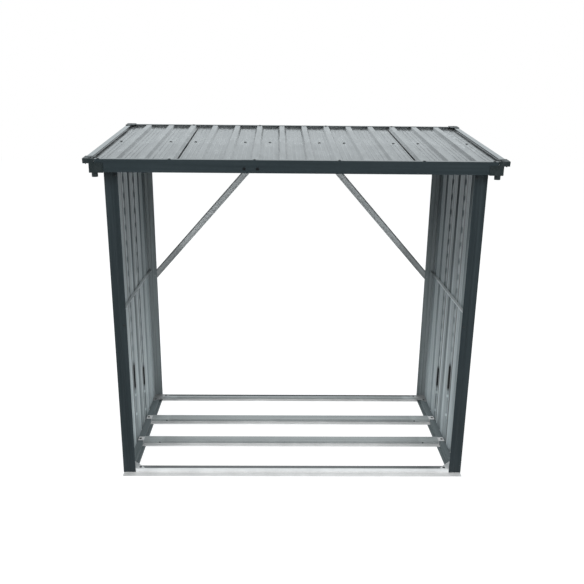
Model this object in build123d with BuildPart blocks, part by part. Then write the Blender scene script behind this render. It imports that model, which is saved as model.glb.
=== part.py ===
from build123d import *
import os
from math import cos, hypot, radians, sin, tan

# Log store of folded and ribbed sheet steel with an open front and an open back.
# Millimetres. X runs along the eave, -Y is the open front with the low eave, Z is up,
# and the origin is on the ground under the middle.

# Overall size
WIDTH = 1720.0
DEPTH = 912.0
HEIGHT = 1540.0
ROOF_FALL = 5.1

# Sheet
FRAME_T = 1.5
SHEET_T = 1.0

# Walls and posts
POST_FACE = 401.5
POST_SIDE = 791.0
POST_LEG = 56.0
POST_BEAD = 3.0
WALL_IN = 778.0
WALL_CLEAR = 3.0

# Ribbed sheet
ROOF_RIBS = 15
WALL_RIBS = 7
RIB_TOP = 24.0
RIB_BASE = 40.0
RIB_RISE = 9.5
LAP_FOOT = 8.0
LAP_TUCK = 4.0
FLUTES = 3
FLUTE_PITCH = 18.5
FLUTE_WIDTH = 5.0
FLUTE_RISE = 0.9

# Roof
ROOF_END = 446.0
TRIM_FLANGE = 16.0
VERGE_FLANGE = 24.0
VERGE_DROP = 26.0
BACK_DROP = 34.0

# Floor frame
RAIL_RISE = 18.0
RAIL_TOP = 30.0
RAIL_LIP = 16.0
GROUND_LIP = 34.0
CROSS_TOP = 46.0
CROSS_LIP = 24.0
CROSS_Y = (-115.0, 118.0)
TAB_WIDTH = 36.0
TAB_END = 775.0
TAB_ROUND = 4.0
TAB_HOLE_IN = 10.0
GUSSET_LEG = 82.0
GUSSET_NOSE = 12.0
GUSSET_HOLE_IN = 18.0
GUSSET_HOLE_SIDE = 14.0

# Beams, rails and braces
BEAM_DROP = 46.0
BEAM_FLANGE = 30.0
HEAD_DROP = 28.0
HEAD_FLANGE = 20.0
PURLIN_WIDTH = 40.0
PURLIN_DEPTH = 24.0
MID_RAIL_Z = 745.0
MID_RAIL_RISE = 20.0
MID_RAIL_FLANGE = 14.0
BRACE_WIDTH = 33.0
BRACE_DEPTH = 10.0
BRACE_LOW = (742.0, 735.0)
BRACE_HIGH = (68.0, 1495.0)

# Gutter and corner caps
GUTTER_FACE = 453.0
GUTTER_BOTTOM = 1405.0
GUTTER_FLOOR = 26.0
GUTTER_LIP = 10.0
CAP_WIDTH = 45.0
CAP_LENGTH = 56.0
CAP_WALL = 2.5
CAP_SKIRT = 20.0
OUTLET_IN = 780.0
OUTLET_OUT = 836.0
OUTLET_RISE = 39.0
SPOUT_X = 817.0
SPOUT_RADIUS = 12.5
SPOUT_DROP = 20.0

HOLE_RADIUS = 2.6
SCREW_HOLE_X = 746.0
POST_HOLES_Z = (731.0, 1385.0)

slope = tan(radians(ROOF_FALL))
rib_crown = RIB_RISE + SHEET_T
trim_top = rib_crown + SHEET_T
cap_top = trim_top + CAP_WALL
cap_side = WIDTH / 2
cap_end = DEPTH / 2 / cos(radians(ROOF_FALL))
verge_side = cap_side - CAP_WALL - SHEET_T
roof_pitch = 2 * verge_side / ROOF_RIBS
wall_pitch = 2 * (POST_FACE - 2 * FRAME_T) / WALL_RIBS

# Height of the underside of the roof pans over the middle of the floor
pan_under = HEIGHT - cap_end * sin(radians(ROOF_FALL)) - cap_top * cos(radians(ROOF_FALL))

# The roof's own plane: x across, y up the slope, z out of the roof.
roof_up = Vector(0, cos(radians(ROOF_FALL)), sin(radians(ROOF_FALL)))
roof_out = Vector(0, -sin(radians(ROOF_FALL)), cos(radians(ROOF_FALL)))
roof_plane = Plane(origin=(0, 0, pan_under), x_dir=(1, 0, 0), z_dir=roof_out)


def pan_z(y):
    """Height of the underside of the roof pans at y."""
    return pan_under + y * slope


def roof_section(along):
    """Plane across the roof slope at a distance up the slope from the middle."""
    return Plane(origin=roof_plane.from_local_coords((0, along, 0)), x_dir=(1, 0, 0), z_dir=-roof_up)


def folded(points, thickness, side=Side.LEFT):
    """Closed outline of a folded sheet whose one face runs through the points."""
    with BuildSketch() as outline:
        with BuildLine():
            Polyline(*points)
            offset(amount=thickness, side=side, kind=Kind.INTERSECTION)
        make_face()
    return outline.sketch


def flutes(middle):
    """Points of the fine stiffening flutes in the pan about a middle."""
    points = []
    for number in range(FLUTES):
        at = middle + (number - (FLUTES - 1) / 2) * FLUTE_PITCH
        points += [(at - FLUTE_WIDTH / 2, 0), (at, FLUTE_RISE), (at + FLUTE_WIDTH / 2, 0)]
    return points


def ribbed(first, last, start, end, pitch):
    """Points along the inner face of a ribbed sheet, from rib number first to rib number last."""
    half_top = RIB_TOP / 2
    half_base = RIB_BASE / 2
    points = []
    for rib in range(first, last + 1):
        c = rib * pitch
        left = [(c - half_base, 0), (c - half_top, RIB_RISE)]
        right = [(c + half_top, RIB_RISE), (c + half_base, 0)]
        if rib > first:
            points += flutes(c - pitch / 2)
        if rib == first and start == "half":
            points += [(c, RIB_RISE)] + right
        elif rib == first and start == "flat":
            points += [(c - pitch / 2, 0)] + left + right
        elif rib == first and start == "under":
            points += [(c + half_base - LAP_TUCK, 0)]
        elif rib == first:
            points += [(c - half_base - LAP_FOOT, SHEET_T), (c - half_base, SHEET_T)] + left[1:] + right
        elif rib == last and end == "half":
            points += left + [(c, RIB_RISE)]
        elif rib == last and end == "flat":
            points += left + right + [(c + pitch / 2, 0)]
        elif rib == last and end == "under":
            points += [(c - half_base + LAP_TUCK, 0)]
        elif rib == last:
            points += left + right[:1] + [(c + half_base, SHEET_T), (c + half_base + LAP_FOOT, SHEET_T)]
        else:
            points += left + right
    return points


def finish(part, name):
    part.label = name
    export_step(part, "parts/" + name + ".step")


os.makedirs("parts", exist_ok=True)

# Floor frame: top-hat rails

rail_web_in = POST_FACE - FRAME_T - RAIL_TOP
side_web_in = WALL_IN - RAIL_TOP
side_lip_in = side_web_in - RAIL_LIP


def end_rail():
    """Front rail: hat section with a wide ground lip outside and a short lip inside."""
    face = POST_FACE - FRAME_T
    with BuildPart() as rail:
        with BuildSketch(Plane.YZ):
            add(folded([(-rail_web_in + RAIL_LIP, FRAME_T), (-rail_web_in, FRAME_T),
                        (-rail_web_in, RAIL_RISE), (-face, RAIL_RISE), (-face, FRAME_T),
                        (-face - GROUND_LIP, FRAME_T)], FRAME_T))
        extrude(amount=POST_SIDE - FRAME_T, both=True)
        for side in (-1, 1):
            with Locations((side * POST_SIDE, -rail_web_in, 0)):
                Box(2 * (POST_SIDE - side_lip_in), 2 * RAIL_LIP, 2 * RAIL_RISE,
                    align=(Align.CENTER, Align.MIN, Align.CENTER), mode=Mode.SUBTRACT)
            with Locations((side * POST_SIDE, FRAME_T - face, 0)):
                Box(2 * (POST_SIDE - WALL_IN), RAIL_TOP, 2 * RAIL_RISE + FRAME_T,
                    align=(Align.CENTER, Align.MIN, Align.CENTER), mode=Mode.SUBTRACT)
    return rail.part


base_front_rail = end_rail()
base_back_rail = mirror(end_rail(), about=Plane.XZ)
finish(base_front_rail, "base_front_rail")
finish(base_back_rail, "base_back_rail")

with BuildPart() as base_left_rail:
    with BuildSketch(Plane.XZ):
        add(folded([(-side_lip_in, FRAME_T), (-side_web_in, FRAME_T), (-side_web_in, RAIL_RISE),
                    (-WALL_IN, RAIL_RISE), (-WALL_IN, 0)], FRAME_T))
    extrude(amount=rail_web_in, both=True)
finish(base_left_rail.part, "base_left_rail")
finish(mirror(base_left_rail.part, about=Plane.YZ), "base_right_rail")


def cross_rail(y):
    """Cross rail under the logs: a wide hat section with a screwed tab at each end."""
    half = CROSS_TOP / 2
    foot = 2 * FRAME_T
    top = RAIL_RISE + FRAME_T
    with BuildPart() as rail:
        with BuildSketch(Plane.YZ):
            add(folded([(y + half + CROSS_LIP, foot), (y + half, foot), (y + half, top),
                        (y - half, top), (y - half, foot), (y - half - CROSS_LIP, foot)], FRAME_T))
        extrude(amount=side_web_in, both=True)
        with BuildSketch(Plane.XY.offset(RAIL_RISE)):
            with Locations((0, y)):
                RectangleRounded(2 * TAB_END, TAB_WIDTH, TAB_ROUND)
            with Locations((TAB_END - TAB_HOLE_IN, y), (TAB_HOLE_IN - TAB_END, y)):
                Circle(HOLE_RADIUS, mode=Mode.SUBTRACT)
        extrude(amount=FRAME_T)
    return rail.part


finish(cross_rail(CROSS_Y[0]), "floor_rail_front")
finish(cross_rail(CROSS_Y[1]), "floor_rail_back")


def corner_gusset():
    """Flat corner plate on top of the front and left rails."""
    x = -WALL_IN
    y = FRAME_T - POST_FACE
    with BuildPart() as plate:
        with BuildSketch(Plane.XY.offset(RAIL_RISE)) as outline:
            with BuildLine():
                Polyline((x, y), (x + GUSSET_LEG, y), (x + GUSSET_LEG, y + GUSSET_NOSE),
                         (x + GUSSET_NOSE, y + GUSSET_LEG), (x, y + GUSSET_LEG), close=True)
            make_face()
            fillet(outline.vertices().group_by(Axis.X)[-1], TAB_ROUND)
            with Locations((x + GUSSET_LEG - GUSSET_HOLE_IN, y + GUSSET_HOLE_SIDE),
                           (x + GUSSET_HOLE_SIDE, y + GUSSET_LEG - GUSSET_HOLE_IN)):
                Circle(HOLE_RADIUS, mode=Mode.SUBTRACT)
        extrude(amount=FRAME_T)
    return plate.part


gusset = corner_gusset()
finish(gusset, "front_left_gusset")
finish(mirror(gusset, about=Plane.YZ), "front_right_gusset")
back_gusset = mirror(gusset, about=Plane.XZ)
finish(back_gusset, "back_left_gusset")
finish(mirror(back_gusset, about=Plane.YZ), "back_right_gusset")

# Corner posts


def corner_post(front):
    """Left corner post: an angle with a pressed bead, cut to the roof slope at its head."""
    face = POST_FACE if front else -POST_FACE
    inward = 1 if front else -1
    middle = POST_SIDE - POST_LEG / 2
    corner = [(POST_LEG - POST_SIDE, -face), (POST_BEAD - middle, -face),
              (-middle, -face - inward * POST_BEAD / 2), (-middle - POST_BEAD, -face),
              (-POST_SIDE, -face), (-POST_SIDE, -face + inward * POST_LEG)]
    with BuildPart() as post:
        with BuildSketch(Plane.XY.offset(FRAME_T)):
            add(folded(corner, FRAME_T, Side.RIGHT if front else Side.LEFT))
        extrude(amount=pan_under + DEPTH * slope)
        split(bisect_by=roof_plane, keep=Keep.BOTTOM)
        for z in POST_HOLES_Z:
            with Locations(Plane(origin=(-SCREW_HOLE_X, -face, z), x_dir=(1, 0, 0), z_dir=(0, -inward, 0))):
                Cylinder(HOLE_RADIUS, 6 * FRAME_T, mode=Mode.SUBTRACT)
    return post.part


front_post = corner_post(True)
back_post = corner_post(False)
finish(front_post, "front_left_post")
finish(mirror(front_post, about=Plane.YZ), "front_right_post")
finish(back_post, "back_left_post")
finish(mirror(back_post, about=Plane.YZ), "back_right_post")

# Ribbed wall sheets

wall_start = -(WALL_RIBS - 1) * wall_pitch / 2


def wall_sheet(first, last, start, end):
    """Sheet of the left wall between two rib numbers, cut to the roof slope."""
    plane = Plane(origin=(-WALL_IN, wall_start, WALL_CLEAR), x_dir=(0, 1, 0), z_dir=(0, 0, 1))
    with BuildPart() as sheet:
        with BuildSketch(plane):
            add(folded(ribbed(first, last, start, end, wall_pitch), SHEET_T))
        extrude(amount=pan_under + DEPTH * slope)
        split(bisect_by=roof_plane, keep=Keep.BOTTOM)
    return sheet.part


wall_sheets = {"front": wall_sheet(0, 2, "flat", "under"), "middle": wall_sheet(2, 4, "over", "over"),
               "back": wall_sheet(4, 6, "under", "flat")}
for place, sheet in wall_sheets.items():
    finish(sheet, "left_wall_" + place + "_panel")
    finish(mirror(sheet, about=Plane.YZ), "right_wall_" + place + "_panel")

# Rails on the inside of the walls

with BuildPart() as left_mid_rail:
    with BuildSketch(Plane.XZ):
        add(folded([(MID_RAIL_FLANGE - WALL_IN, MID_RAIL_Z + MID_RAIL_RISE),
                    (-WALL_IN, MID_RAIL_Z + MID_RAIL_RISE), (-WALL_IN, MID_RAIL_Z)], FRAME_T))
    extrude(amount=POST_FACE - FRAME_T, both=True)
finish(left_mid_rail.part, "left_mid_rail")
finish(mirror(left_mid_rail.part, about=Plane.YZ), "right_mid_rail")

beam_flange_end = (POST_FACE - FRAME_T - BEAM_FLANGE) / cos(radians(ROOF_FALL))
with BuildPart() as left_top_rail:
    with BuildSketch(roof_section(0)):
        add(folded([(HEAD_FLANGE - WALL_IN, 0), (-WALL_IN, 0), (-WALL_IN, -HEAD_DROP)], FRAME_T))
    extrude(amount=beam_flange_end - FRAME_T, both=True)
finish(left_top_rail.part, "left_top_rail")
finish(mirror(left_top_rail.part, about=Plane.YZ), "right_top_rail")

# Beams under the roof


def top_beam(front):
    """Angle under the low or high edge of the roof, its flange bent to the roof slope."""
    face = FRAME_T - POST_FACE if front else POST_FACE - FRAME_T
    inner = face + BEAM_FLANGE if front else face - BEAM_FLANGE
    with BuildPart() as beam:
        with BuildSketch(Plane.YZ):
            add(folded([(inner, pan_z(inner)), (face, pan_z(face)), (face, pan_z(face) - BEAM_DROP)],
                       FRAME_T, Side.LEFT if front else Side.RIGHT))
        extrude(amount=WALL_IN, both=True)
    return beam.part


finish(top_beam(True), "front_top_beam")
finish(top_beam(False), "back_top_beam")

with BuildPart() as roof_purlin:
    half = PURLIN_WIDTH / 2
    with BuildSketch(Plane.YZ):
        add(folded([(half, pan_z(half) - PURLIN_DEPTH), (half, pan_z(half)), (-half, pan_z(-half)),
                    (-half, pan_z(-half) - PURLIN_DEPTH)], FRAME_T))
    extrude(amount=WALL_IN - FRAME_T, both=True)
    for side in (-1, 1):
        with Locations(roof_plane):
            with Locations((side * WALL_IN, 0, 0)):
                Box(2 * HEAD_FLANGE, 2 * PURLIN_WIDTH, 2 * FRAME_T, mode=Mode.SUBTRACT)
finish(roof_purlin.part, "roof_purlin")

# Diagonal braces in the back opening

brace_run = BRACE_LOW[0] - BRACE_HIGH[0]
brace_rise = BRACE_HIGH[1] - BRACE_LOW[1]
brace_length = hypot(brace_run, brace_rise)
brace_plane = Plane(origin=(-BRACE_LOW[0], POST_FACE, BRACE_LOW[1]),
                    x_dir=(brace_run, 0, brace_rise), z_dir=(0, -1, 0))

with BuildPart() as left_brace:
    with BuildSketch(brace_plane):
        with Locations((brace_length / 2, 0)):
            SlotOverall(brace_length + BRACE_WIDTH, BRACE_WIDTH)
    extrude(amount=-FRAME_T)
    with BuildSketch(brace_plane.offset(-FRAME_T)):
        for edge in (-1, 1):
            with Locations((brace_length / 2, edge * (BRACE_WIDTH - FRAME_T) / 2)):
                Rectangle(brace_length - BRACE_WIDTH, FRAME_T)
    extrude(amount=FRAME_T - BRACE_DEPTH)
    with BuildSketch(brace_plane):
        with Locations((brace_length, 0)):
            Circle(BRACE_WIDTH / 2)
    extrude(amount=FRAME_T)
    with BuildSketch(brace_plane.offset(FRAME_T)):
        with Locations((0, 0), (brace_length, 0)):
            Circle(HOLE_RADIUS)
    extrude(amount=-4 * FRAME_T, mode=Mode.SUBTRACT)
finish(left_brace.part, "left_brace")
finish(mirror(left_brace.part, about=Plane.YZ), "right_brace")

# Ribbed roof sheets

roof_start = -ROOF_RIBS * roof_pitch / 2


def roof_sheet(first, last, start, end):
    """Roof sheet between two rib numbers, from the gutter to the high edge."""
    section = roof_section(ROOF_END)
    plane = Plane(origin=section.origin + Vector(roof_start, 0, 0), x_dir=(1, 0, 0), z_dir=section.z_dir)
    with BuildPart() as sheet:
        with BuildSketch(plane):
            add(folded(ribbed(first, last, start, end, roof_pitch), SHEET_T))
        extrude(amount=2 * ROOF_END)
    return sheet.part


outer_sheet = roof_sheet(0, 3, "half", "over")
inner_sheet = roof_sheet(3, 6, "under", "over")
finish(outer_sheet, "roof_panel_1")
finish(inner_sheet, "roof_panel_2")
finish(roof_sheet(6, 9, "under", "under"), "roof_panel_3")
finish(mirror(inner_sheet, about=Plane.YZ), "roof_panel_4")
finish(mirror(outer_sheet, about=Plane.YZ), "roof_panel_5")

# Edge trims

with BuildPart() as left_verge_trim:
    with BuildSketch(roof_section(0)):
        add(folded([(VERGE_FLANGE - verge_side, rib_crown), (-verge_side, rib_crown),
                    (-verge_side, rib_crown - VERGE_DROP)], SHEET_T, Side.RIGHT))
    extrude(amount=ROOF_END - TRIM_FLANGE, both=True)
finish(left_verge_trim.part, "left_verge_trim")
finish(mirror(left_verge_trim.part, about=Plane.YZ), "right_verge_trim")

crown_z = rib_crown / cos(radians(ROOF_FALL))
with BuildPart() as back_edge_trim:
    with BuildSketch(Plane.YZ):
        back = ROOF_END * cos(radians(ROOF_FALL))
        add(folded([(back - TRIM_FLANGE, pan_z(back - TRIM_FLANGE) + crown_z), (back, pan_z(back) + crown_z),
                    (back, pan_z(back) + crown_z - BACK_DROP)], SHEET_T))
    extrude(amount=cap_side - CAP_WIDTH, both=True)
finish(back_edge_trim.part, "back_edge_trim")

with BuildPart() as front_gutter:
    with BuildSketch(Plane.YZ):
        top = pan_z(-GUTTER_FACE) + crown_z
        inner = TRIM_FLANGE - GUTTER_FACE
        add(folded([(inner, pan_z(inner) + crown_z), (-GUTTER_FACE, top), (-GUTTER_FACE, GUTTER_BOTTOM),
                    (GUTTER_FLOOR - GUTTER_FACE, GUTTER_BOTTOM),
                    (GUTTER_FLOOR - GUTTER_FACE, GUTTER_BOTTOM + GUTTER_LIP)], SHEET_T, Side.RIGHT))
    extrude(amount=cap_side - CAP_WIDTH, both=True)
    for side in (-1, 1):
        with Locations((side * cap_side, -GUTTER_FACE, GUTTER_BOTTOM - SHEET_T)):
            Box(2 * (cap_side - SPOUT_X + SPOUT_RADIUS), 2 * GUTTER_FLOOR, OUTLET_RISE - CAP_WALL,
                align=(Align.CENTER, Align.MIN, Align.MIN), mode=Mode.SUBTRACT)
finish(front_gutter.part, "front_gutter")

# Corner caps


def roof_corner(front):
    """Hollow cap over the left end of a roof edge, with side and end skirts."""
    end = -1 if front else 1
    with BuildPart() as cap:
        with Locations(roof_plane):
            with Locations((-cap_side, end * cap_end, cap_top - CAP_SKIRT)):
                Box(CAP_WIDTH, CAP_LENGTH, CAP_SKIRT,
                    align=(Align.MIN, Align.MIN if front else Align.MAX, Align.MIN))
            with Locations((CAP_WALL - cap_side, end * (cap_end - CAP_WALL), trim_top)):
                Box(2 * CAP_WIDTH, 2 * CAP_LENGTH, 2 * CAP_SKIRT,
                    align=(Align.MIN, Align.MIN if front else Align.MAX, Align.MAX), mode=Mode.SUBTRACT)
    return cap.part


def outlet_cap():
    """Front corner cap: the roof corner with the gutter's outlet box and spout below it."""
    front = -GUTTER_FACE - SHEET_T
    floor = GUTTER_BOTTOM - SHEET_T
    width = OUTLET_OUT - OUTLET_IN
    reach = GUTTER_FLOOR + 2 * SHEET_T
    with BuildPart() as cap:
        add(roof_corner(True))
        with Locations((-OUTLET_OUT, front - CAP_WALL, floor - CAP_WALL)):
            Box(width, reach + 2 * CAP_WALL, OUTLET_RISE, align=Align.MIN)
        with Locations((-OUTLET_OUT + CAP_WALL, front, floor)):
            Box(width, reach, 2 * OUTLET_RISE, align=Align.MIN, mode=Mode.SUBTRACT)
        with Locations((-SPOUT_X, front + reach / 2, floor)):
            Cylinder(SPOUT_RADIUS, SPOUT_DROP, align=(Align.CENTER, Align.CENTER, Align.MAX))
            Cylinder(SPOUT_RADIUS - CAP_WALL, 4 * SPOUT_DROP, mode=Mode.SUBTRACT)
    return cap.part


finish(outlet_cap(), "front_left_cap")
finish(mirror(outlet_cap(), about=Plane.YZ), "front_right_cap")
finish(roof_corner(False), "back_left_cap")
finish(mirror(roof_corner(False), about=Plane.YZ), "back_right_cap")
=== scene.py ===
from math import cos, pi, radians, sin, tan

import bpy
from mathutils import Matrix, Vector


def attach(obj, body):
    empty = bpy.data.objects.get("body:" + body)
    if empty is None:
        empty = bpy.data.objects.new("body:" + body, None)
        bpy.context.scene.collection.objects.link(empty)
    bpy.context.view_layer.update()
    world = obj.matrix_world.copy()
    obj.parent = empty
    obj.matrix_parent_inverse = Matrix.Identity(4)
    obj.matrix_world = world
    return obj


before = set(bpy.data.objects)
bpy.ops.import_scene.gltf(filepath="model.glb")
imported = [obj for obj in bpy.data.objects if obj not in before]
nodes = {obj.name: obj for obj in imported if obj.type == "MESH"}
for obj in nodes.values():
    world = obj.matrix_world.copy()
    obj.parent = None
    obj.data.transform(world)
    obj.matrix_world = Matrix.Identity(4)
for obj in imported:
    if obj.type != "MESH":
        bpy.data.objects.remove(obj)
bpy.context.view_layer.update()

# Log store of folded and ribbed sheet steel: finishes, small hardware, studio and camera.
# Metres. X runs along the eave, -Y is the open front with the low eave, and Z is up.

# Places on the log store

ROOF_FALL = radians(5.1)
ROOF_OUT = Vector((0, -sin(ROOF_FALL), cos(ROOF_FALL)))
PAN_UNDER = 1.48529
PAN_TOP = 0.0019
CROWN = 0.0115
ROOF_PITCH = 0.1142
LAP_RIBS = (-4.5, -1.5, 1.5, 4.5)
LAP_FOOT = 0.0271
EAVE_FACE = -0.4540
WALL_PANS = (-0.2846, -0.1708, -0.0569, 0.0569, 0.1708, 0.2846)
WALL_LAP = 0.1138
WALL_OUT = 0.7799
WALL_CROWN_IN = 0.7875
POST_FACE = 0.4015
POST_SIDE = 0.791
FLOOR_TOP = 0.0195
CROSS_RAILS = (-0.115, 0.118)

# Brace screws at the foot and the head, and the direction across the brace, as |x| and z
BRACE_FOOT = (0.742, 0.735)
BRACE_HEAD = (0.068, 1.495)
BRACE_ACROSS = (0.7482, 0.6635)

# Lapped wall ribs with rungs: place along Y, and the low and high end of the slot under the rungs
RUNG_STRIPS = ((-WALL_LAP, 0.287, 0.42), (WALL_LAP, 0.20, 0.31))
RUNG_PITCH = 0.075
RUNG_START = 0.045
RUNG_HEAD = 1.37

# The photograph's camera in metres, radians and pixels, with the sensor in millimetres

IMAGE_SIZE = 584
CAMERA_PLACE = (-0.0793, -3.2757, 1.7731)
CAMERA_PITCH = 0.2987
CAMERA_YAW = 0.0148
CAMERA_ROLL = 0.0097
FOCAL_PIXELS = 695.5
AXIS_PIXEL = 286.6
SENSOR_WIDTH = 36.0


def make_camera():
    """Camera at the photograph's place and angle."""
    ahead = Vector((sin(CAMERA_YAW) * cos(CAMERA_PITCH), cos(CAMERA_YAW) * cos(CAMERA_PITCH),
                    -sin(CAMERA_PITCH)))
    level = Vector((cos(CAMERA_YAW), -sin(CAMERA_YAW), 0))
    above = level.cross(ahead)
    right = cos(CAMERA_ROLL) * level + sin(CAMERA_ROLL) * above
    up = cos(CAMERA_ROLL) * above - sin(CAMERA_ROLL) * level
    data = bpy.data.cameras.new("camera")
    data.sensor_width = SENSOR_WIDTH
    data.lens = FOCAL_PIXELS / IMAGE_SIZE * SENSOR_WIDTH
    data.shift_x = (IMAGE_SIZE / 2 - AXIS_PIXEL) / IMAGE_SIZE
    camera = bpy.data.objects.new("camera", data)
    facing = Matrix((right, up, -ahead)).transposed().to_4x4()
    camera.matrix_world = Matrix.Translation(CAMERA_PLACE) @ facing
    bpy.context.scene.collection.objects.link(camera)
    bpy.context.scene.camera = camera


# Small tools for materials

# Spans of a noise that are stretched over a whole change
NOISE_SPAN = (0.3, 0.7)
STREAK_SPAN = (0.35, 0.65)
PAINT_SPAN = (0.35, 0.68)

EVEN = (1, 1, 1)
ALONG_X = (0.02, 1, 1)
ALONG_Y = (1, 0.02, 1)
ALONG_Z = (1, 1, 0.02)


class Nodes:
    """A material under construction, with short ways to add and join its nodes."""

    def __init__(self, name):
        self.material = bpy.data.materials.new(name)
        self.material.use_nodes = True
        self.tree = self.material.node_tree
        self.shader = self.tree.nodes["Principled BSDF"]

    def add(self, kind, **settings):
        node = self.tree.nodes.new("ShaderNode" + kind)
        for key, value in settings.items():
            setattr(node, key, value)
        return node

    def link(self, start, end):
        self.tree.links.new(start, end)

    def feed(self, value, socket):
        """Joins an output to a socket, or sets the socket to a plain number or colour."""
        if isinstance(value, tuple):
            socket.default_value = (*value, 1)
        elif isinstance(value, (int, float)):
            socket.default_value = value
        else:
            self.link(value, socket)

    def set(self, name, value):
        self.feed(value, self.shader.inputs[name])

    def place(self, scale=EVEN):
        """Coordinates on the object in metres, stretched by scale."""
        source = self.add("TexCoord")
        mapping = self.add("Mapping")
        mapping.inputs["Scale"].default_value = scale
        self.link(source.outputs["Object"], mapping.inputs["Vector"])
        return mapping.outputs["Vector"]

    def split(self, vector):
        node = self.add("SeparateXYZ")
        self.link(vector, node.inputs["Vector"])
        return node.outputs["X"], node.outputs["Y"], node.outputs["Z"]

    def axes(self):
        """The three coordinates on the object in metres."""
        return self.split(self.place())

    def facing(self):
        """The three parts of the face's own normal."""
        return self.split(self.add("NewGeometry").outputs["True Normal"])

    def noise(self, scale, stretch=EVEN, detail=3.0, roughness=0.5):
        node = self.add("TexNoise")
        node.inputs["Scale"].default_value = scale
        node.inputs["Detail"].default_value = detail
        node.inputs["Roughness"].default_value = roughness
        self.link(self.place(stretch), node.inputs["Vector"])
        return node.outputs["Fac"]

    def spangle(self, scale):
        """The flake pattern of a zinc coat: a different value in each cell."""
        node = self.add("TexVoronoi", feature="F1")
        node.inputs["Scale"].default_value = scale
        self.link(self.place(), node.inputs["Vector"])
        parts = self.add("SeparateColor")
        self.link(node.outputs["Color"], parts.inputs["Color"])
        return parts.outputs["Red"]

    def math(self, operation, first, second=0):
        node = self.add("Math", operation=operation)
        self.feed(first, node.inputs[0])
        self.feed(second, node.inputs[1])
        return node.outputs["Value"]

    def plus(self, first, second):
        return self.math("ADD", first, second)

    def times(self, first, second):
        return self.math("MULTIPLY", first, second)

    def larger(self, first, second):
        return self.math("MAXIMUM", first, second)

    def remap(self, value, span, new_low, new_high):
        """Turns a span of values into another, and stops at its ends."""
        node = self.add("MapRange")
        numbers = (*span, new_low, new_high)
        for name, number in zip(("From Min", "From Max", "To Min", "To Max"), numbers):
            node.inputs[name].default_value = number
        self.link(value, node.inputs["Value"])
        return node.outputs["Result"]

    def rising(self, value, span):
        return self.remap(value, span, 0, 1)

    def falling(self, value, span):
        return self.remap(value, span, 1, 0)

    def band(self, value, centre, half, soft):
        """1 near a centre and 0 outside it, with a soft edge."""
        away = self.math("ABSOLUTE", self.math("SUBTRACT", value, centre))
        return self.falling(away, (half - soft / 2, half + soft / 2))

    def mix(self, factor, first, second):
        node = self.add("Mix", data_type="RGBA")
        sockets = (node.inputs["Factor"], node.inputs[6], node.inputs[7])
        for value, socket in zip((factor, first, second), sockets):
            self.feed(value, socket)
        return node.outputs[2]

    def scaled(self, color, tone):
        """A colour made lighter or darker by a tone, where 1 leaves it as it is."""
        node = self.add("VectorMath", operation="SCALE")
        self.link(color, node.inputs[0])
        self.link(tone, node.inputs["Scale"])
        return node.outputs["Vector"]

    def bump(self, height, strength, distance, normal=None):
        node = self.add("Bump")
        node.inputs["Strength"].default_value = strength
        node.inputs["Distance"].default_value = distance
        self.link(height, node.inputs["Height"])
        if normal is not None:
            self.link(normal, node.inputs["Normal"])
        return node.outputs["Normal"]


# Dark paint

PAINT = (0.015, 0.022, 0.025)
PAINT_FADED = (0.024, 0.033, 0.037)
PAINT_IOR = 1.52
# Painted highlight on the trims' upturned faces, light and dark
TRIM_HIGHLIGHT = (0.13, 0.145, 0.15)
TRIM_HIGHLIGHT_DARK = (0.075, 0.087, 0.091)
TRIM_HIGHLIGHT_FACING = (0.8, 0.95)


def gutter_paint():
    """Dark grey coil paint with faint roller streaks along the gutter and slight dust."""
    m = Nodes("gutter_paint")
    streaks = m.noise(70, ALONG_X, 4, 0.6)
    dust = m.noise(5, EVEN, 5, 0.6)
    mottle = m.times(m.rising(streaks, PAINT_SPAN), m.remap(dust, NOISE_SPAN, 0.35, 1))
    m.set("Base Color", m.mix(mottle, PAINT, PAINT_FADED))
    m.set("Roughness", m.remap(dust, NOISE_SPAN, 0.10, 0.20))
    peel = m.noise(900, EVEN, 2)
    wave = m.noise(9, ALONG_X, 2)
    m.set("Normal", m.bump(peel, 0.03, 0.0004, m.bump(wave, 0.1, 0.002)))
    m.set("IOR", PAINT_IOR)
    return m.material


def trim_paint():
    """Edge trim: dark paint, with faces that turn up painted lighter as a painted reflection of the light
    from above.
    """
    m = Nodes("trim_finish")
    streaks = m.noise(70, ALONG_Y, 4, 0.6)
    mottle = m.rising(streaks, PAINT_SPAN)
    # Faces that turn up get a painted highlight, the lighter trim colours.
    top = m.rising(m.facing()[2], TRIM_HIGHLIGHT_FACING)
    m.set("Base Color", m.mix(top, m.mix(mottle, PAINT, PAINT_FADED), m.mix(mottle, TRIM_HIGHLIGHT_DARK, TRIM_HIGHLIGHT)))
    m.set("Roughness", m.remap(streaks, NOISE_SPAN, 0.1, 0.18))
    m.set("Normal", m.bump(streaks, 0.05, 0.001))
    m.set("IOR", PAINT_IOR)
    return m.material


# Roof sheet

ROOF_DUST = (0.058, 0.066, 0.069)
ROOF_SHADE = (0.040, 0.047, 0.050)
SCUFF = (0.32, 0.345, 0.355)
# Painted shadow and dirt in the lap gaps
LAP_GAP_SHADOW_AND_DIRT = (0.006, 0.008, 0.009)
LAP_GAP_X = LAP_RIBS[-1] * ROOF_PITCH - LAP_FOOT
LAP_GAP_HALF = 0.0042
LAP_GAP_SOFT = 0.001

# Painted reflection in bands across the roof, lighter and darker: centre and half width along Y, and amount
REFLECTION_BANDS = ((0.34, 0.05, 0.35), (0.05, 0.09, 0.2), (-0.12, 0.05, -0.15), (-0.33, 0.06, -0.2))
REFLECTION_BAND_SOFT = 0.03
REFLECTION_BAND_RAG = 0.05

# Scuffed patches near the right edge: place and half width along X, then centre and half length along Y
SCUFF_X = 0.775
SCUFF_HALF = 0.03
SCUFF_SOFT = 0.03
SCUFF_PATCHES = ((0.19, 0.05), (-0.09, 0.07))
PATCH_SOFT = 0.04
RUB_SPAN = (0.53, 0.57)


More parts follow.
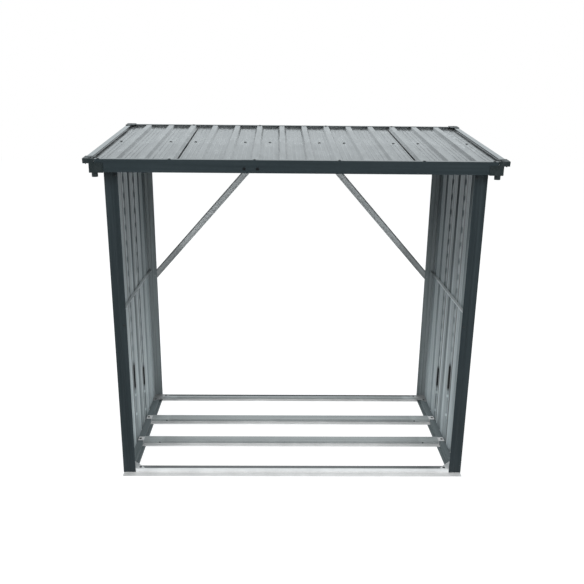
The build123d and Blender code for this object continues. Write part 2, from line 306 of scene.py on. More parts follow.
def roof_paint():
    """Roof sheet: the dark paint with painted reflection in ragged cross bands, lap lines darkened with
    painted shadow and dirt, and a few scuffs.
    """
    m = Nodes("roof_paint_painted_reflection")
    x, y = m.axes()[:2]
    streaks = m.noise(75, (1, 0.03, 1), 4, 0.65)
    cells = m.noise(26, (1, 0.35, 1), 3, 0.7)
    dust = m.noise(5, EVEN, 5, 0.6)
    ragged = m.plus(y, m.remap(cells, NOISE_SPAN, -REFLECTION_BAND_RAG, REFLECTION_BAND_RAG))
    tone = m.plus(m.remap(streaks, NOISE_SPAN, 0.65, 1.45), m.remap(dust, NOISE_SPAN, -0.1, 0.1))
    # Painted reflection: ragged bands across the roof add to the tone, lighter and darker.
    for centre, half, amount in REFLECTION_BANDS:
        tone = m.plus(tone, m.times(m.band(ragged, centre, half, REFLECTION_BAND_SOFT), amount))
    color = m.scaled(m.mix(m.rising(cells, STREAK_SPAN), ROOF_SHADE, ROOF_DUST), tone)
    # Lap gaps: painted shadow and dirt, with no specular reflection.
    gap = m.band(m.math("ABSOLUTE", x), LAP_GAP_X, LAP_GAP_HALF, LAP_GAP_SOFT)
    color = m.mix(gap, color, LAP_GAP_SHADOW_AND_DIRT)
    m.set("Specular IOR Level", m.remap(gap, (0, 1), 0.5, 0.0))
    patch = m.larger(*[m.band(y, centre, half, PATCH_SOFT) for centre, half in SCUFF_PATCHES])
    rubs = m.rising(m.noise(38, (1, 0.45, 1), 4, 0.75), RUB_SPAN)
    scuffs = m.times(m.band(x, SCUFF_X, SCUFF_HALF, SCUFF_SOFT), rubs)
    m.set("Base Color", m.mix(m.times(scuffs, patch), color, SCUFF))
    # Roughness and sheen weight follow the tone, painted reflection bands included.
    m.set("Roughness", m.remap(tone, (0.6, 1.4), 0.12, 0.2))
    m.set("Normal", m.bump(cells, 0.05, 0.002, m.bump(m.noise(9, (1, 0.1, 1), 2), 0.1, 0.003)))
    m.set("Sheen Weight", m.plus(m.remap(tone, (0.6, 1.6), 0.0, 0.2), m.times(cells, 0.04)))
    m.set("Sheen Roughness", 0.4)
    m.set("IOR", PAINT_IOR)
    return m.material


# Zinc

ZINC = (0.84, 0.83, 0.825)
ZINC_DARK = (0.66, 0.655, 0.65)
PLATE = (0.66, 0.67, 0.67)
PLATE_DARK = (0.48, 0.49, 0.49)
MID_RAIL = (0.44, 0.47, 0.48)
MID_RAIL_DARK = (0.28, 0.30, 0.31)
RAIL_UPPER = (0.34, 0.36, 0.36)
RAIL_UPPER_DARK = (0.23, 0.245, 0.245)
# Painted highlight along the front rail's fold
FOLD_HIGHLIGHT = (0.80, 0.81, 0.81)
# Painted shadow in the web holes
WEB_HOLE_SHADOW = (0.02, 0.023, 0.024)
# Painted shadow along the back rail's far edge
FAR_EDGE_SHADOW = (0.035, 0.041, 0.043)
BRACE_LIGHT = (0.68, 0.70, 0.70)
BRACE_DARK = (0.58, 0.60, 0.605)

# Where the rails and plates change tone: spans of height, |x| or y, and the place of each web hole
WEB_FOOT = (0.004, 0.007)
FRAME_HEAD = (0.03, 0.05)
CROWN_HEIGHT = (0.017, 0.0175)
TAB_START = (0.744, 0.748)
RAIL_END = (0.64, 0.66)
FRONT_TOP = (-0.397, -0.391)
FRONT_EDGE = (-0.41, -0.405)
FRONT_LIP = (-0.41, -0.40)
FRONT_RAIL = (-0.30, -0.29)
BACK_EDGE = (0.382, 0.385)
BACK_CORNER = (0.27, 0.31)
HOLE_X = 0.665
HOLE_Z = 0.0105
HOLE_HALF = 0.0035
CROSS_REACH = 0.2

# Where a brace changes tone, across it and along |x|
BRACE_LOWER = (-0.006, -0.003)
BRACE_UPPER = (0.010, 0.012)
BRACE_FOOT_END = (0.56, 0.62)
BRACE_HEAD_END = (0.13, 0.19)


def zinc(name, streak):
    """Galvanised steel whose colour is still to be set, with its fine mottle and its cloudy tone."""
    m = Nodes(name)
    flakes = m.spangle(260)
    streaks = m.noise(45, streak, 4, 0.6)
    patches = m.noise(7, EVEN, 4, 0.6)
    mottle = m.rising(m.plus(m.times(flakes, 0.16), m.times(streaks, 0.84)), NOISE_SPAN)
    m.set("Metallic", 0.2)
    m.set("Roughness", m.remap(patches, NOISE_SPAN, 0.34, 0.5))
    m.set("Normal", m.bump(flakes, 0.04, 0.0005, m.bump(streaks, 0.04, 0.001)))
    return m, mottle, m.remap(patches, NOISE_SPAN, 0.9, 1.08)


def zinc_plate(name, streak, light, dark):
    """Zinc of the gussets and the mid rails, darker towards the back."""
    m, mottle, cloud = zinc(name, streak)
    y = m.axes()[1]
    color = m.scaled(m.mix(mottle, dark, light), m.remap(y, BACK_CORNER, 1.0, 0.55))
    m.set("Base Color", m.scaled(color, cloud))
    return m.material


def zinc_rail():
    """Zinc of the rails along X: darker crowns and webs, lighter tabs and ground lips, a painted highlight
    on the front rail's fold, and painted shadow in the web holes and along the far edge.
    """
    m, mottle, cloud = zinc("zinc_along_x_painted_light", ALONG_X)
    x, y, z = m.axes()
    side = m.math("ABSOLUTE", x)
    in_frame = m.falling(z, FRAME_HEAD)
    upper_tone = m.scaled(m.mix(mottle, RAIL_UPPER_DARK, RAIL_UPPER), m.remap(side, RAIL_END, 1.0, 1.3))
    upper_tone = m.scaled(upper_tone, m.remap(y, FRONT_RAIL, 0.4, 1.0))
    # Painted highlight along the front rail's top at its fold.
    upper_tone = m.mix(m.times(m.falling(y, FRONT_TOP), m.rising(y, FRONT_EDGE)), upper_tone, FOLD_HIGHLIGHT)
    above = m.times(m.rising(z, WEB_FOOT), in_frame)
    color = m.mix(m.times(above, m.falling(side, TAB_START)), m.mix(mottle, ZINC_DARK, ZINC), upper_tone)
    # Painted shadow where the cross rails' webs have holes.
    hole = m.times(m.band(side, HOLE_X, HOLE_HALF, 0.001), m.band(z, HOLE_Z, HOLE_HALF, 0.001))
    color = m.mix(m.times(hole, m.band(y, 0.0, CROSS_REACH, 0.01)), color, WEB_HOLE_SHADOW)
    color = m.scaled(color, m.remap(y, FRONT_LIP, 0.84, 1.0))
    # Painted shadow along the far edge of the back rail's top, with the specular level lowered there.
    far_shadow = m.times(m.times(m.rising(y, BACK_EDGE), m.rising(z, CROWN_HEIGHT)), in_frame)
    m.set("Base Color", m.scaled(m.mix(far_shadow, color, FAR_EDGE_SHADOW), cloud))
    m.set("Specular IOR Level", m.remap(far_shadow, (0, 1), 0.5, 0.05))
    return m.material


def zinc_brace():
    """Zinc of the braces: dark along the upper edge, darker along the lower third and at both ends."""
    m = Nodes("zinc_brace")
    flakes = m.spangle(90)
    cloudy = m.noise(14, EVEN, 4, 0.6)
    x, y, z = m.axes()
    side = m.math("ABSOLUTE", x)
    out = m.times(m.math("SUBTRACT", side, BRACE_FOOT[0]), BRACE_ACROSS[0])
    across = m.plus(out, m.times(m.math("SUBTRACT", z, BRACE_FOOT[1]), BRACE_ACROSS[1]))
    mottle = m.rising(m.plus(m.times(flakes, 0.1), m.times(cloudy, 0.9)), NOISE_SPAN)
    color = m.scaled(m.mix(mottle, BRACE_DARK, BRACE_LIGHT), m.remap(across, BRACE_LOWER, 0.82, 1.0))
    ends = m.times(m.remap(side, BRACE_FOOT_END, 1.0, 0.6), m.remap(side, BRACE_HEAD_END, 0.6, 1.0))
    color = m.scaled(color, ends)
    m.set("Base Color", m.scaled(color, m.remap(across, BRACE_UPPER, 1.0, 0.3)))
    m.set("Metallic", 0.1)
    m.set("Roughness", m.remap(cloudy, NOISE_SPAN, 0.5, 0.6))
    m.set("Normal", m.bump(cloudy, 0.03, 0.001))
    return m.material


# Grey back coat

RAIL = (0.150, 0.174, 0.180)
RAIL_DARK = (0.105, 0.125, 0.130)
BACK_COAT = (0.23, 0.255, 0.26)
BACK_COAT_DARK = (0.15, 0.17, 0.175)
COAT_SPECULAR = 0.35

# Where the paint of a post starts: past a place along Y, and on faces turned outward or inward
BACK_HALF = (0, 0.01)
OUTER_FACE = (-0.5, -0.3)
INNER_FACE = (-0.5, -0.7)


def outward(m, x, y):
    """Above 0 on faces that look away from the middle: along X and Y together, and along X alone."""
    normal_x, normal_y = m.facing()[:2]
    across = m.times(m.math("SIGN", x), normal_x)
    along = m.times(m.math("SIGN", y), normal_y)
    return m.plus(across, along), across


def sheet(name, streak, painted=False):
    """Coated sheet: the grey back coat, with dark paint on the outer faces when painted."""
    m = Nodes(name)
    streaks = m.noise(60, streak, 4, 0.6)
    clouds = m.noise(4, EVEN, 4, 0.6)
    mottle = m.rising(streaks, STREAK_SPAN)
    color = m.mix(mottle, RAIL_DARK, RAIL)
    if painted:
        x, y = m.axes()[:2]
        both, across = outward(m, x, y)
        behind = m.rising(y, BACK_HALF)
        outer = m.larger(m.rising(both, OUTER_FACE), m.times(behind, m.rising(across, INNER_FACE)))
        coat = m.mix(behind, color, m.mix(mottle, BACK_COAT_DARK, BACK_COAT))
        color = m.mix(outer, coat, m.mix(mottle, PAINT, PAINT_FADED))
    m.set("Base Color", color)
    m.set("Roughness", m.remap(clouds, NOISE_SPAN, 0.3, 0.42))
    m.set("Normal", m.bump(streaks, 0.05, 0.001))
    m.set("Specular IOR Level", COAT_SPECULAR)
    return m.material


# Wall sheet

# Inside of the walls: the coat painted dark high up as painted shade under the roof and light low down as
# painted light from the floor
COAT_HIGH_SHADED = (0.064, 0.077, 0.081)
COAT_HIGH_SHADED_DARK = (0.036, 0.044, 0.047)
COAT_LOW_LIT = (0.28, 0.313, 0.322)
COAT_LOW_LIT_DARK = (0.175, 0.20, 0.208)
# Painted highlight colours of the rungs, high up and low down
RUNG_HIGHLIGHT = (0.24, 0.262, 0.266)
RUNG_HIGHLIGHT_LOW = (0.40, 0.42, 0.425)
# Painted highlight over the rungs
RUNG_DASH_HIGHLIGHT = (0.33, 0.35, 0.355)
WALL_SHADE_FADE = (1.25, 0.2)
WALL_SHADE_FADE_POWER = 1.35
RUNG_FADE = (1.3, 0.4)
LOW_TO_HIGH = (0.4, 1.0)
STRIP_HALF = 0.017
STRIP_SOFT = 0.006
SLOT_HALF = 0.025
SLOT_END_SOFT = 0.02
GLINT_DROPS = (0.035, 0.14)
GLINT_HALF = 0.02
GLINT_TALL = 0.007
GLINT_LEVEL = 0.9
DARKEST = 0.03
WALL_DEPTH = (-0.35, 0.35)
RUNG_RAG = 0.008
RUNG_FADE_IN = 0.02
OUTSIDE_FACE = (-0.02, 0.02)

# Painted light and shade of the ribs down the inside of the walls, as lit flanks, fold highlights and
# shadow lines: centre and half width along Y, soft edge, amount
RIB_LIGHT_AND_SHADE = ((-0.195, 0.03, 0.03, 0.45), (-0.150, 0.006, 0.006, -0.95), (-0.166, 0.004, 0.005, 0.6),
              (-0.03, 0.03, 0.04, 0.45), (0.03, 0.02, 0.03, -0.3), (0.060, 0.005, 0.006, 0.9),
              (0.078, 0.006, 0.005, -1.1), (0.19, 0.04, 0.04, 0.2), (0.31, 0.02, 0.02, 0.35))


def slot_tone(m, y, z, tone, centre, low, high):
    """The tone with a slot in a lapped rib painted black as painted shadow, and two small painted glints
    under it.
    """
    middle = (low + high) / 2
    tall = m.band(z, middle, (high - low) / 2, SLOT_END_SOFT)
    # Painted shadow: the slot goes black.
    slot = m.times(m.band(y, centre, SLOT_HALF, STRIP_SOFT), tall)
    tone = m.times(tone, m.math("SUBTRACT", 1.0, slot))
    # Painted glints under the slot.
    for drop in GLINT_DROPS:
        spot = m.band(z, low - drop, GLINT_TALL, STRIP_SOFT)
        glint = m.times(m.band(y, centre, GLINT_HALF, STRIP_SOFT), spot)
        tone = m.plus(tone, m.times(glint, GLINT_LEVEL))
    return tone


def wall_paint():
    """Wall sheet: dark paint outside; inside a grey back coat with painted shade high up, painted light low
    down, painted light and shade of the ribs, and painted highlights along the lapped ribs with rungs.
    """
    m = Nodes("wall_coat_painted_light")
    streaks = m.noise(60, ALONG_Z, 4, 0.6)
    clouds = m.noise(4, (1, 1, 0.5), 4, 0.6)
    ragged = m.remap(m.noise(35, EVEN, 3, 0.6), NOISE_SPAN, -RUNG_RAG, RUNG_RAG)
    x, y, z = m.axes()
    mottle = m.rising(streaks, STREAK_SPAN)
    shaded_high_coat = m.mix(mottle, COAT_HIGH_SHADED_DARK, COAT_HIGH_SHADED)
    lit_low_coat = m.mix(mottle, COAT_LOW_LIT_DARK, COAT_LOW_LIT)
    # Painted shade high up and painted light low down, blended by height.
    inside = m.mix(m.math("POWER", m.rising(z, WALL_SHADE_FADE), WALL_SHADE_FADE_POWER), shaded_high_coat, lit_low_coat)
    tone = m.remap(y, WALL_DEPTH, 1.0, 1.3)
    # Painted light and shade of the ribs, added to the tone.
    for centre, half, soft, amount in RIB_LIGHT_AND_SHADE:
        tone = m.plus(tone, m.times(m.band(y, centre, half, soft), amount))
    # Painted highlights along the lapped ribs: light dashes at the rungs and a lighter strip, both changing
    # with height.
    rung_highlights = []
    for centre, low, high in RUNG_STRIPS:
        strip = m.band(y, centre, STRIP_HALF, STRIP_SOFT)
        start = high + RUNG_START - RUNG_PITCH / 2
        wave = m.math("FRACT", m.math("DIVIDE", m.plus(m.math("SUBTRACT", z, start), ragged), RUNG_PITCH))
        bright = m.times(strip, m.band(wave, 0.5, 0.3, 0.2))
        above = m.rising(z, (high, high + RUNG_FADE_IN))
        rung_highlights.append(m.times(above, m.times(bright, m.remap(z, LOW_TO_HIGH, 0.4, 0.8))))
        rung_light = m.times(bright, m.remap(z, LOW_TO_HIGH, 0.7, 0.5))
        strip_light = m.times(strip, m.remap(z, LOW_TO_HIGH, 0.2, 0.5))
        tone = m.plus(tone, m.times(above, m.plus(rung_light, strip_light)))
        tone = slot_tone(m, y, z, tone, centre, low, high)
    # Painted highlight colour laid over the dashes.
    inside = m.mix(m.larger(*rung_highlights), m.scaled(inside, m.larger(tone, DARKEST)), RUNG_DASH_HIGHLIGHT)
    outside = m.mix(m.rising(streaks, PAINT_SPAN), PAINT, PAINT_FADED)
    m.set("Base Color", m.mix(m.rising(outward(m, x, y)[1], OUTSIDE_FACE), inside, outside))
    m.set("Roughness", m.remap(clouds, NOISE_SPAN, 0.34, 0.46))
    m.set("Normal", m.bump(streaks, 0.06, 0.002))
    m.set("Specular IOR Level", COAT_SPECULAR)
    return m.material


def rung_coat():
    """Grey back coat of the pressed rungs, painted lighter than the sheet as a painted highlight and
    lighter still low down as painted light, with a random tone.
    """
    m = Nodes("rung_painted_highlight")
    rub = m.noise(120, EVEN, 4, 0.7)
    z = m.axes()[2]
    # Painted highlight, lighter low down as painted light.
    color = m.mix(m.rising(z, RUNG_FADE), RUNG_HIGHLIGHT, RUNG_HIGHLIGHT_LOW)
    m.set("Base Color", m.scaled(color, m.remap(rub, STREAK_SPAN, 0.75, 1.5)))
    m.set("Roughness", m.remap(rub, NOISE_SPAN, 0.28, 0.45))
    m.set("Normal", m.bump(rub, 0.05, 0.0006))
    return m.material


# Plastic caps and screw heads

PLASTIC = (0.012, 0.018, 0.019)
PLASTIC_WORN = (0.035, 0.043, 0.045)
DARK_HEAD = (0.030, 0.036, 0.038)
BLACK_HEAD = (0.006, 0.007, 0.008)
ZINC_HEAD = (0.5, 0.52, 0.53)
HEAD_SHADE = 0.55


def plastic():
    """Moulded dark plastic with a fine grain."""
    m = Nodes("cap_plastic")
    grain = m.noise(700, EVEN, 2)
    scuff = m.noise(40, EVEN, 5, 0.7)
    m.set("Base Color", m.mix(m.remap(scuff, (0.45, 0.75), 0, 0.6), PLASTIC, PLASTIC_WORN))
    m.set("Roughness", m.remap(scuff, NOISE_SPAN, 0.36, 0.52))
    m.set("Normal", m.bump(grain, 0.1, 0.0005))
    return m.material


def screw_metal(name, color, metallic):
    """Plated or painted screw heads with a fine turned grain."""
    m = Nodes(name)
    grain = m.noise(900)
    shade = tuple(part * HEAD_SHADE for part in color)
    m.set("Base Color", m.mix(m.remap(grain, NOISE_SPAN, 0, 0.35), color, shade))
    m.set("Metallic", metallic)
    m.set("Roughness", m.remap(grain, NOISE_SPAN, 0.28, 0.42))
    m.set("Normal", m.bump(grain, 0.08, 0.0004))
    return m.material


# Finishes of the frame's nodes, by the first of these words in a node's name

FINISH_WORDS = (("wall", "wall"), ("roof_panel", "roof"), ("base_left", "side_rail"),
                ("base_right", "side_rail"), ("left_top", "side_rail"), ("right_top", "side_rail"),
                ("mid_rail", "mid_rail"), ("brace", "brace"), ("gusset", "gusset"), ("gutter", "gutter"),
                ("back_edge_trim", "back_trim"), ("trim", "trim"), ("post", "post"), ("cap", "cap"),
                ("", "rail"))


def dress_nodes(gutter):
    """Gives each node of the frame its finish."""
    finishes = {
        "post": sheet("post_finish", ALONG_Z, True),
        "gutter": gutter,
        "trim": trim_paint(),
        "back_trim": sheet("back_trim_finish", ALONG_X, True),
        "roof": roof_paint(),
        "wall": wall_paint(),
        "cap": plastic(),
        "rail": zinc_rail(),
        "gusset": zinc_plate("zinc_plate", EVEN, PLATE, PLATE_DARK),
        "brace": zinc_brace(),
        "side_rail": sheet("side_rail_finish", ALONG_Y),
        "mid_rail": zinc_plate("mid_rail_finish", ALONG_Y, MID_RAIL, MID_RAIL_DARK),
    }
    for name, node in nodes.items():
        key = next(finish for word, finish in FINISH_WORDS if word in name)
        node.data.materials.clear()
        node.data.materials.append(finishes[key])
        for polygon in node.data.polygons:
            polygon.material_index = 0


EDGE_ROUND = 0.0004
CAP_ROUND = 0.0008
WELD_REACH = 0.00001
FOLD_ANGLE = radians(40)


def soften_edges():
    """Small rounding on the folds and edges of all nodes but the ribbed panels."""
    for name, node in nodes.items():
        if "panel" in name:
            continue
        weld = node.modifiers.new("weld", "WELD")
        weld.merge_threshold = WELD_REACH
        bevel = node.modifiers.new("bevel", "BEVEL")
        bevel.width = CAP_ROUND if "cap" in name else EDGE_ROUND
        bevel.segments = 2
        bevel.limit_method = "ANGLE"
        bevel.angle_limit = FOLD_ANGLE
        bevel.harden_normals = True


# Screw and rivet heads: radius and height from the rim to the middle

SCREW_SIDES = 24
SCREW_TURN = 0.7
SCREW_PROFILE = ((0.0064, 0.0), (0.0064, 0.0006), (0.0061, 0.0009), (0.0045, 0.0010), (0.0042, 0.0011),
                 (0.0040, 0.0016), (0.0034, 0.0020), (0.0024, 0.0023), (0.0012, 0.00235), (0.0, 0.00235))
RIVET_PROFILE = ((0.0042, 0.0), (0.0041, 0.0005), (0.0036, 0.0010), (0.0026, 0.0014), (0.0014, 0.0016),
                 (0.0012, 0.0013), (0.0006, 0.0012), (0.0, 0.0012))
RECESS_REACH = 0.0026
RECESS_DEPTH = 0.0011


def roof_point(x, y, up):
    """Point over the roof pans' underside at x and y, at a height out of the roof plane."""
    return Vector((x, y, PAN_UNDER + y * tan(ROOF_FALL))) + ROOF_OUT * up


def mesh_piece(name, vertices, faces, material, smooth=True):
    """Makes one object that rides on the log store."""
    mesh = bpy.data.meshes.new(name)
    mesh.from_pydata([tuple(vertex) for vertex in vertices], [], faces)
    mesh.materials.append(material)
    for polygon in mesh.polygons:
        polygon.use_smooth = smooth
    piece = bpy.data.objects.new(name, mesh)
    bpy.context.scene.collection.objects.link(piece)
    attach(piece, "root")


def turned(vertices, faces, place, away, profile, cross, turn):
    """Adds a turned head, with a cross recess when asked, to lists of vertices and faces."""
    out = Vector(away).normalized()
    side = out.orthogonal().normalized()
    other = out.cross(side)
    start = len(vertices)
    for radius, height in profile:
        for step in range(SCREW_SIDES):
            angle = 2 * pi * step / SCREW_SIDES + turn
            in_cross = cross and radius < RECESS_REACH and step % (SCREW_SIDES // 4) == 0
            rise = height - RECESS_DEPTH if in_cross else height
            offset = side * cos(angle) * radius + other * sin(angle) * radius + out * rise
            vertices.append(Vector(place) + offset)
    for ring in range(len(profile) - 1):
        for step in range(SCREW_SIDES):
            after = (step + 1) % SCREW_SIDES
            inner = start + ring * SCREW_SIDES
            outer = inner + SCREW_SIDES
            faces.append((inner + step, inner + after, outer + after, outer + step))


def heads(name, places, material, profile=SCREW_PROFILE, cross=True):
    """One piece of many like heads: places are points with the directions that they face."""
    vertices = []
    faces = []
    for number, (place, away) in enumerate(places):
        turned(vertices, faces, place, away, profile, cross, SCREW_TURN * number)
    mesh_piece(name, vertices, faces, material)


def both_sides(points):
    """Points with directions, and their mirror images about the middle of the log store."""
    flipped = [((-p[0], p[1], p[2]), (-d[0], d[1], d[2])) for p, d in points]
    return list(points) + flipped


# Places of the heads

PAN_SCREWS = (-7, -5, -4, -2, -1, 1, 2, 4, 5, 7)
PAN_SCREW_ROWS = (0.0, 0.392)
EAVE_SCREW_Y = -0.4445
HIGH_SCREW_Y = 0.4355
GUTTER_SCREWS = (-0.213, -0.160)
GUTTER_SCREW_Y = -0.4546
GUTTER_SCREW_Z = 1.4215
CAP_RIVET = (0.838, 0.437, 0.014)
VERGE_OUT = 0.8575
VERGE_ROWS = (-0.36, -0.12, 0.12, 0.36)
VERGE_DROP = 0.002
POST_SCREW_X = 0.746
POST_SCREW_Y = 0.362
POST_FACE_HEIGHTS = (0.731, 1.385)
POST_SIDE_HEIGHTS = (0.05, 0.755, 1.385)
WALL_FOOT_HEIGHTS = (0.0125, 0.755)
WALL_HEAD_DROP = 0.014
TAB_SCREW_X = 0.765
GUSSET_SCREWS = ((0.714, 0.386), (0.764, 0.336))
BRACE_SCREW_Y = 0.403


def make_roof_heads(dark, black):
    """Screws of the roof pans, the roof's edges and the gutter, and rivets of the caps and verges."""
    out = tuple(ROOF_OUT)
    pans = [(roof_point(ROOF_PITCH * n, y, PAN_TOP), out) for n in PAN_SCREWS for y in PAN_SCREW_ROWS]
    heads("roof_screws", pans, black)
    eave_ribs = (PAN_SCREWS[0], *LAP_RIBS, PAN_SCREWS[-1])
    edges = [(roof_point(ROOF_PITCH * n, EAVE_SCREW_Y, CROWN), out) for n in eave_ribs]
    edges += [(roof_point(ROOF_PITCH * n, HIGH_SCREW_Y, CROWN), out) for n in LAP_RIBS]
    heads("edge_screws", edges, black)
    gutter = [((x, GUTTER_SCREW_Y, GUTTER_SCREW_Z), (0, -1, 0)) for x in GUTTER_SCREWS]
    heads("gutter_screws", gutter, black)
    x, y, up = CAP_RIVET
    caps = [(roof_point(side * x, end * y, up), out) for side in (-1, 1) for end in (-1, 1)]
    heads("cap_rivets", caps, dark, RIVET_PROFILE, False)
    verge = [(roof_point(-VERGE_OUT, y, 0) - Vector((0, 0, VERGE_DROP)), (-1, 0, 0)) for y in VERGE_ROWS]
    heads("verge_rivets", both_sides(verge), dark, RIVET_PROFILE, False)


def make_wall_heads(dark):
    """Screws of the posts and of the wall sheets."""
    post = [((-POST_SCREW_X, y, z), (0, y, 0)) for z in POST_FACE_HEIGHTS for y in (-POST_FACE, POST_FACE)]
    for z in POST_SIDE_HEIGHTS:
        post += [((-POST_SIDE, y, z), (-1, 0, 0)) for y in (-POST_SCREW_Y, POST_SCREW_Y)]
    heads("post_screws", both_sides(post), dark)
    wall = [((-WALL_OUT, y, z), (-1, 0, 0)) for z in WALL_FOOT_HEIGHTS for y in WALL_PANS]
    wall += [(roof_point(-WALL_OUT, y, 0) - Vector((0, 0, WALL_HEAD_DROP)), (-1, 0, 0)) for y in WALL_PANS]
    heads("wall_screws", both_sides(wall), dark)


def make_frame_heads(black, bright):
    """Screws of the floor frame's tabs and gussets, and of the braces."""
    floor = [((-TAB_SCREW_X, y, FLOOR_TOP), (0, 0, 1)) for y in CROSS_RAILS]
    for x, y in GUSSET_SCREWS:
        floor += [((-x, y * end, FLOOR_TOP), (0, 0, 1)) for end in (-1, 1)]
    heads("floor_screws", both_sides(floor), black)
    brace = [((-x, BRACE_SCREW_Y, z), (0, 1, 0)) for x, z in (BRACE_FOOT, BRACE_HEAD)]
    heads("brace_screws", both_sides(brace), bright)


# Cover over the joint of the two gutter lengths

LAP_ENDS = (-0.222, -0.156)
LAP_SKIN = 0.0006
LAP_INNER = -0.438
LAP_UNDER = -0.428
LAP_FLOOR = 1.4092
LAP_LIFT = 0.0001

# Bends of the cover along Y and Z, inside and outside, at its top and at its floor
TOP_BEND = (0.0015, 0.0012)
TOP_BEND_OUTER = 0.0010
FLOOR_BEND = (0.0012, 0.0013)
FLOOR_BEND_OUTER = (0.0010, 0.0012)


def make_gutter_lap(material):
    """Thin cover over the gutter's joint, folded over the top, the face and the underside."""
    crown = PAN_UNDER + CROWN / cos(ROOF_FALL)
    top = crown + EAVE_FACE * tan(ROOF_FALL)
    outside = EAVE_FACE - LAP_SKIN
    under = [(LAP_INNER, crown + LAP_INNER * tan(ROOF_FALL)), (EAVE_FACE + TOP_BEND[0], top + LAP_LIFT),
             (EAVE_FACE, top - TOP_BEND[1]), (EAVE_FACE, LAP_FLOOR + FLOOR_BEND[1]),
             (EAVE_FACE + FLOOR_BEND[0], LAP_FLOOR), (LAP_UNDER, LAP_FLOOR)]
    over = [(LAP_INNER, under[0][1] + LAP_SKIN), (EAVE_FACE + TOP_BEND[0], top + LAP_SKIN),
            (outside, top - TOP_BEND_OUTER), (outside, LAP_FLOOR + FLOOR_BEND_OUTER[1]),
            (EAVE_FACE + FLOOR_BEND_OUTER[0], LAP_FLOOR - LAP_SKIN), (LAP_UNDER, LAP_FLOOR - LAP_SKIN)]
    vertices = []
    for x in LAP_ENDS:
        vertices += [(x, y, z) for y, z in under + over]
    count = len(under)
    faces = []
    for i in range(count - 1):
        faces.append((count + i, count + i + 1, 3 * count + i + 1, 3 * count + i))
        faces.append((i + 1, i, 2 * count + i, 2 * count + i + 1))
        faces.append((i, i + 1, count + i + 1, count + i))
        faces.append((2 * count + i + 1, 2 * count + i, 3 * count + i, 3 * count + i + 1))
    faces.append((0, count, 3 * count, 2 * count))
    faces.append((count - 1, 3 * count - 1, 4 * count - 1, 2 * count - 1))
    mesh_piece("gutter_lap", vertices, faces, material, False)


# Pressed rungs

RUNG_HALF = 0.0135
RUNG_TALL = 0.0075
RUNG_DEEP = 0.0014
RUNG_STEPS = 6


def add_rung(vertices, faces, side, centre, middle):
    """One low pillow across the inside of a lapped rib."""
    start = len(vertices)
    row = RUNG_STEPS + 1
    for i in range(row):
        across = 2 * i / RUNG_STEPS - 1
        for j in range(row):
            up = 2 * j / RUNG_STEPS - 1
            rise = RUNG_DEEP * (1 - across ** 4) * (1 - up ** 2)
            place = (side * (WALL_CROWN_IN - rise), centre + across * RUNG_HALF, middle + up * RUNG_TALL)
            vertices.append(place)
    for i in range(RUNG_STEPS):
        for j in range(RUNG_STEPS):
            corner = start + i * row + j
            face = (corner, corner + 1, corner + row + 1, corner + row)
            faces.append(face if side < 0 else face[::-1])


def make_rungs(material):
    """Pressed rungs up each lapped wall rib, above the slot."""
    for side, name in ((-1, "left_wall_rungs"), (1, "right_wall_rungs")):
        vertices = []
        faces = []
        for centre, low, high in RUNG_STRIPS:
            for number in range(int((RUNG_HEAD - high) / RUNG_PITCH)):
                middle = high + RUNG_START + number * RUNG_PITCH
                add_rung(vertices, faces, side, centre, middle)
        mesh_piece(name, vertices, faces, material)


# Floor, background and light

WHITE = (1, 1, 1, 1)
COOL = (0.93, 1.0, 1.03, 1)
SOFT_LEVEL = 0.62

# Mirror rays toward the front meet a dimmer background and floor: level, and the span of Y where it ends
DIM_SKY = (0.2, -0.35, 0.15)
DIM_FLOOR = (0.15, -0.7, 0.0)

FLOOR_SIZE = 24.0
FLOOR_DROP = 0.0005
FLOOR_GREY = (0.86, 0.86, 0.86, 1)
FLOOR_GLOW = 0.72
FLOOR_WHITE = 1.2

LIGHT_TARGET = Vector((0, 0, 0.7))
LIGHT_SIZE = 2.6
LIGHTS = (("key", (-2.2, -3.0, 3.6), 120), ("fill", (2.6, -3.2, 2.6), 80), ("back", (0.0, 3.2, 3.4), 70))


def dim_ahead(tree, coordinates, dim):
    """A dim level before a span of Y, rising to 1 behind it."""
    level, start, end = dim
    place = tree.nodes.new("ShaderNodeTexCoord")
    split = tree.nodes.new("ShaderNodeSeparateXYZ")
    ramp = tree.nodes.new("ShaderNodeMapRange")
    for name, number in (("From Min", start), ("From Max", end), ("To Min", level), ("To Max", 1.0)):
        ramp.inputs[name].default_value = number
    tree.links.new(place.outputs[coordinates], split.inputs["Vector"])
    tree.links.new(split.outputs["Y"], ramp.inputs["Value"])
    return ramp.outputs["Result"]


def joined(tree, operation, first, second):
    """The outcome of a math node on two sockets."""
    node = tree.nodes.new("ShaderNodeMath")
    node.operation = operation
    tree.links.new(first, node.inputs[0])
    tree.links.new(second, node.inputs[1])
    return node.outputs[0]


def mixed(tree, factor, first, second):
    """One shader or the other, by a factor."""
    node = tree.nodes.new("ShaderNodeMixShader")
    for number, socket in enumerate((factor, first, second)):
        tree.links.new(socket, node.inputs[number])
    return node.outputs[0]


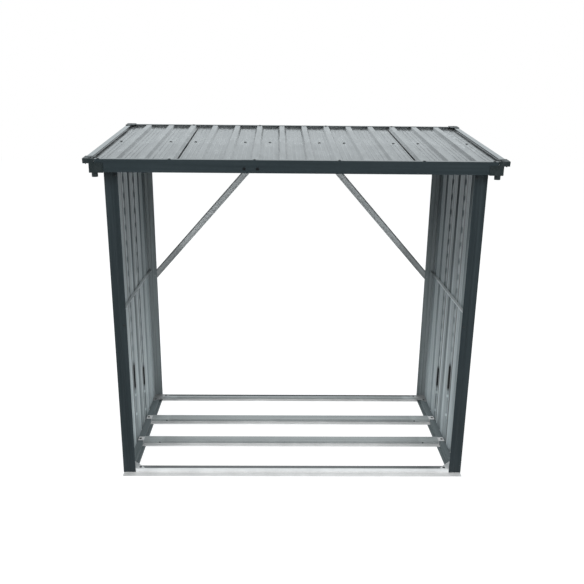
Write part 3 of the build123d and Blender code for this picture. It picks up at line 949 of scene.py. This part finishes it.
def make_world():
    """White background for seen rays, cooler for mirrored and let-through ones, and soft light besides."""
    world = bpy.data.worlds.new("studio")
    world.use_nodes = True
    tree = world.node_tree
    path = tree.nodes.new("ShaderNodeLightPath").outputs
    soft = tree.nodes["Background"]
    soft.inputs["Color"].default_value = COOL
    soft.inputs["Strength"].default_value = SOFT_LEVEL
    tint = tree.nodes.new("ShaderNodeMix")
    tint.data_type = "RGBA"
    tint.inputs[6].default_value = COOL
    tint.inputs[7].default_value = WHITE
    tree.links.new(path["Is Camera Ray"], tint.inputs["Factor"])
    white = tree.nodes.new("ShaderNodeBackground")
    tree.links.new(tint.outputs[2], white.inputs["Color"])
    level = joined(tree, "MAXIMUM", dim_ahead(tree, "Generated", DIM_SKY), path["Is Camera Ray"])
    tree.links.new(level, white.inputs["Strength"])
    seen = joined(tree, "MAXIMUM", path["Is Camera Ray"], path["Is Glossy Ray"])
    seen = joined(tree, "MAXIMUM", seen, path["Is Transmission Ray"])
    surface = mixed(tree, seen, soft.outputs[0], white.outputs[0])
    tree.links.new(surface, tree.nodes["World Output"].inputs["Surface"])
    bpy.context.scene.world = world


def floor_material():
    """Pale floor that keeps the object's shadow and meets the white background."""
    material = bpy.data.materials.new("floor")
    material.use_nodes = True
    tree = material.node_tree
    tree.nodes.clear()
    path = tree.nodes.new("ShaderNodeLightPath").outputs
    diffuse = tree.nodes.new("ShaderNodeBsdfDiffuse")
    diffuse.inputs["Color"].default_value = FLOOR_GREY
    glow = tree.nodes.new("ShaderNodeEmission")
    glow.inputs["Color"].default_value = WHITE
    glow.inputs["Strength"].default_value = FLOOR_WHITE
    mirrored = tree.nodes.new("ShaderNodeEmission")
    mirrored.inputs["Color"].default_value = COOL
    tree.links.new(dim_ahead(tree, "Object", DIM_FLOOR), mirrored.inputs["Strength"])
    share = tree.nodes.new("ShaderNodeMath")
    share.operation = "MULTIPLY"
    share.inputs[1].default_value = FLOOR_GLOW
    tree.links.new(path["Is Camera Ray"], share.inputs[0])
    seen = mixed(tree, share.outputs[0], diffuse.outputs[0], glow.outputs[0])
    surface = mixed(tree, path["Is Glossy Ray"], seen, mirrored.outputs[0])
    output = tree.nodes.new("ShaderNodeOutputMaterial")
    tree.links.new(surface, output.inputs["Surface"])
    return material


def make_floor():
    """Level floor just under the log store's feet."""
    mesh = bpy.data.meshes.new("floor")
    half = FLOOR_SIZE / 2
    corners = [(-half, -half, 0), (half, -half, 0), (half, half, 0), (-half, half, 0)]
    mesh.from_pydata(corners, [], [(0, 1, 2, 3)])
    mesh.materials.append(floor_material())
    floor = bpy.data.objects.new("floor", mesh)
    floor.location.z = -FLOOR_DROP
    bpy.context.scene.collection.objects.link(floor)


def make_lights():
    """Soft area lights that no camera or mirror ray sees."""
    for name, place, watts in LIGHTS:
        data = bpy.data.lights.new(name, "AREA")
        data.size = LIGHT_SIZE
        data.energy = watts
        light = bpy.data.objects.new(name, data)
        light.location = place
        light.rotation_mode = "QUATERNION"
        light.rotation_quaternion = (LIGHT_TARGET - Vector(place)).to_track_quat("-Z", "Y")
        light.visible_camera = False
        light.visible_glossy = False
        bpy.context.scene.collection.objects.link(light)


make_camera()
gutter_finish = gutter_paint()
dress_nodes(gutter_finish)
dark_heads = screw_metal("screw_dark", DARK_HEAD, 0.2)
black_heads = screw_metal("screw_black", BLACK_HEAD, 0.0)
zinc_heads = screw_metal("screw_zinc", ZINC_HEAD, 0.85)
make_roof_heads(dark_heads, black_heads)
make_wall_heads(dark_heads)
make_frame_heads(black_heads, zinc_heads)
make_gutter_lap(gutter_finish)
make_rungs(rung_coat())
soften_edges()
make_world()
make_floor()
make_lights()

bpy.context.scene.view_settings.view_transform = "Standard"
